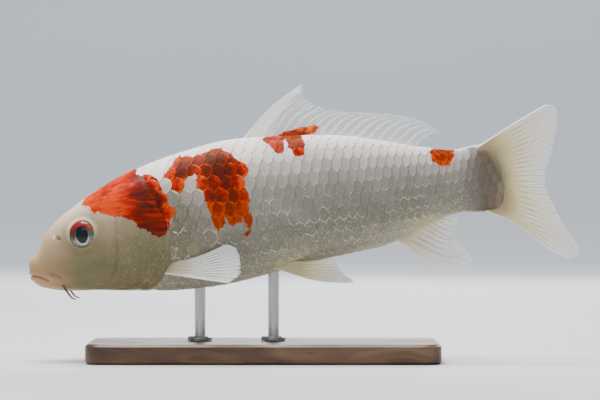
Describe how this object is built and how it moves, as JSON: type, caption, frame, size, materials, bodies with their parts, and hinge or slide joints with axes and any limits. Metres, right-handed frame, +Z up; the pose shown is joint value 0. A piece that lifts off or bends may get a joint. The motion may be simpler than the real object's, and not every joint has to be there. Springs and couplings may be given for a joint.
{
  "type": "koi carp on a display stand",
  "caption": "Young koi carp, life size, swimming nose-down with fins spread and tail slightly swung, held over a flat plinth by short rods under its belly.",
  "frame": {"origin": "centre of the flat underside of the stand's base", "axes": "+Z up out of the base; +X runs from the fish's snout towards its tail; -Y is the side that the fish's left flank faces"},
  "size_m": [0.2211, 0.0564, 0.1113],
  "materials": {
    "skin": "smooth wet head skin, cream with an orange-red patch on the nape",
    "scales": "pearly white scales with orange-red patches",
    "fin": "thin cream-white fin membrane over fine rays",
    "eye": "clear cornea over a silver iris and a dark pupil",
    "barbel": "soft brown skin",
    "walnut": "satin oiled walnut",
    "steel": "brushed"
  },
  "bodies": {
    "root": {"head": "skin", "upper_jaw": "skin", "lower_jaw": "skin", "gill_cover_left": "skin", "gill_cover_right": "skin", "trunk_front": "scales", "trunk_rear": "scales", "tail_stalk": "scales", "eye_left": "eye", "eye_right": "eye", "barbel_front_left": "barbel", "barbel_front_right": "barbel", "barbel_rear_left": "barbel", "barbel_rear_right": "barbel", "dorsal_fin": "fin", "anal_fin": "fin", "tail_fin_upper": "fin", "tail_fin_lower": "fin", "pectoral_fin_left": "fin", "pectoral_fin_right": "fin", "pelvic_fin_left": "fin", "pelvic_fin_right": "fin", "stand_base": "walnut", "stand_rod_front": "steel", "stand_rod_rear": "steel"}
  },
  "joints": []
}
